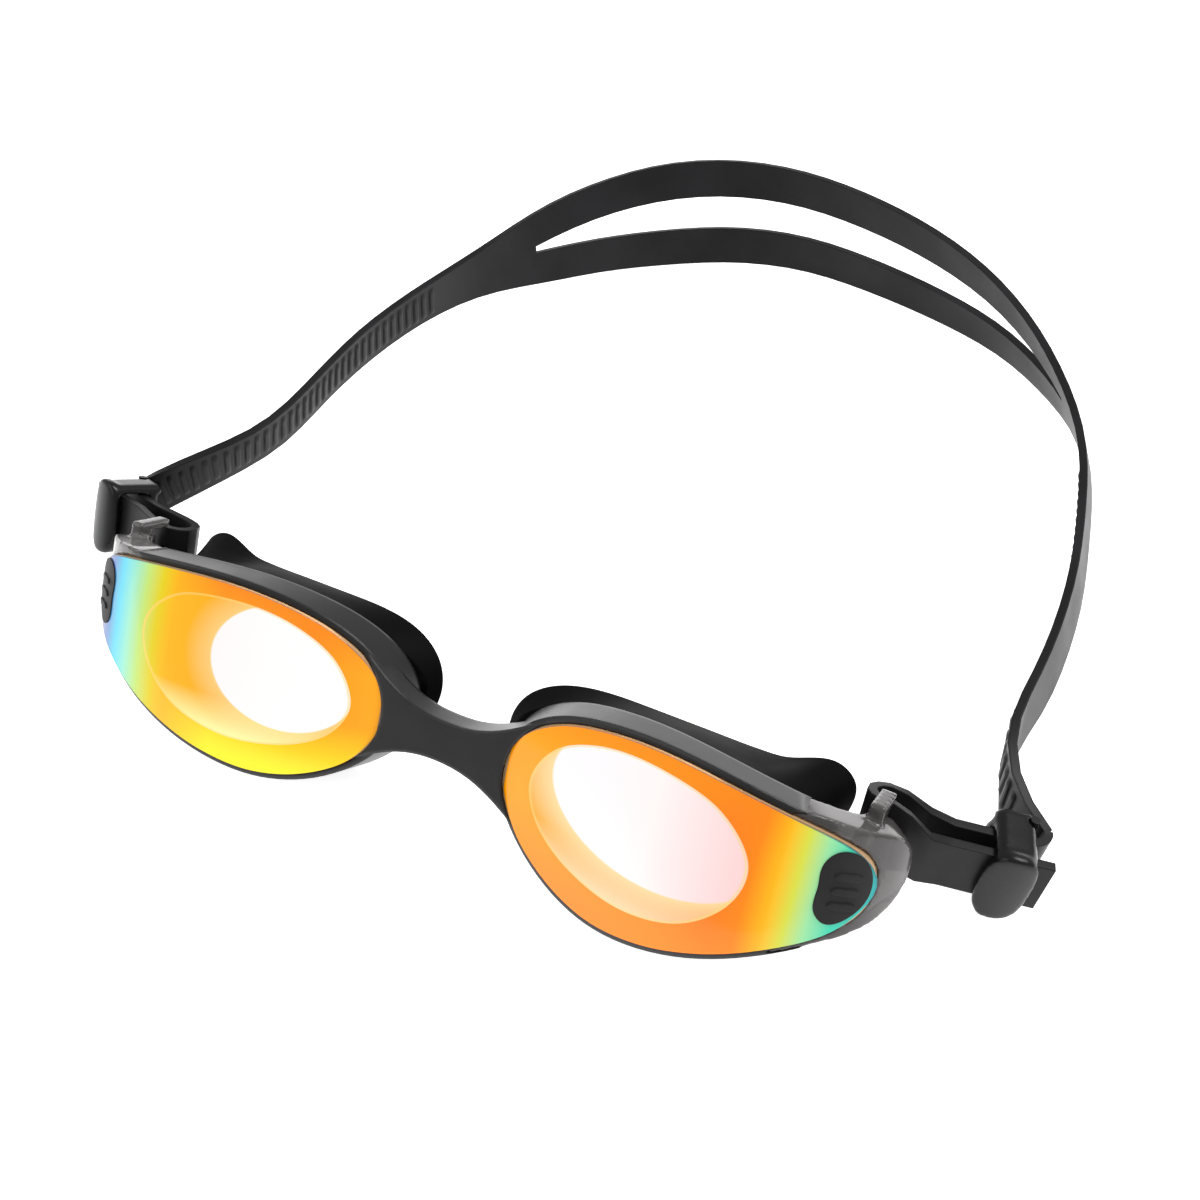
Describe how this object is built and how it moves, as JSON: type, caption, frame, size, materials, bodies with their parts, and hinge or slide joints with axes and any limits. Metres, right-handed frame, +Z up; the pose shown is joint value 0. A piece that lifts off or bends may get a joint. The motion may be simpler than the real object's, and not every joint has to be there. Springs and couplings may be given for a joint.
{
  "type": "swim goggles",
  "caption": "Wraparound swim goggles: mirrored one-piece lenses, soft face seals, smoky temple arms and a split-back head strap closed by small sliding buckles.",
  "frame": {"origin": "middle of the whole footprint, on the surface the goggles lie on", "axes": "+X to the wearer's left, -Y the way the lenses face, +Z up"},
  "size_m": [0.2026, 0.1942, 0.0374],
  "materials": {
    "lens_mirror": "mirrored, partly see-through",
    "smoke_clear": "clear smoke tint",
    "frame_rubber": "satin",
    "seal_rubber": "matte",
    "strap_rubber": "satin",
    "badge_rubber": "matte",
    "buckle_plastic": "gloss",
    "pin_plastic": "satin"
  },
  "bodies": {
    "eyepieces": {"bridge_frame": "frame_rubber", "eye_seal_left": "seal_rubber", "eye_seal_right": "seal_rubber", "lens_left": "lens_mirror", "lens_right": "lens_mirror", "side_badge_left": "badge_rubber", "side_badge_right": "badge_rubber", "temple_arm_left": "smoke_clear", "temple_arm_right": "smoke_clear"},
    "strap": {"head_strap": "strap_rubber"},
    "buckle_left": {"strap_buckle_left": "buckle_plastic"},
    "roller_left": {"buckle_pin_left": "pin_plastic"},
    "buckle_right": {"strap_buckle_right": "buckle_plastic"},
    "roller_right": {"buckle_pin_right": "pin_plastic"}
  },
  "joints": [
    {"name": "strap_tilt", "type": "hinge", "parent": "eyepieces", "child": "strap", "pos_m": [-0.00031, -0.06396, 0.01809], "axis": [1, 0, 0], "range_deg": [-8, 8]},
    {"name": "buckle_slide_left", "type": "slide", "parent": "strap", "child": "buckle_left", "axis": [-0.9466, -0.2656, 0.1825], "range_m": [0, 0.004]},
    {"name": "roller_turn_left", "type": "hinge", "parent": "buckle_left", "child": "roller_left", "pos_m": [0.09483, -0.05464, 0.01099], "axis": [0.1362, 0.1836, 0.9735], "continuous": true},
    {"name": "buckle_slide_right", "type": "slide", "parent": "strap", "child": "buckle_right", "axis": [0.9466, -0.2656, 0.1825], "range_m": [0, 0.004]},
    {"name": "roller_turn_right", "type": "hinge", "parent": "buckle_right", "child": "roller_right", "pos_m": [-0.09531, -0.05397, 0.01123], "axis": [0, 0.5664, 0.8241], "continuous": true}
  ]
}
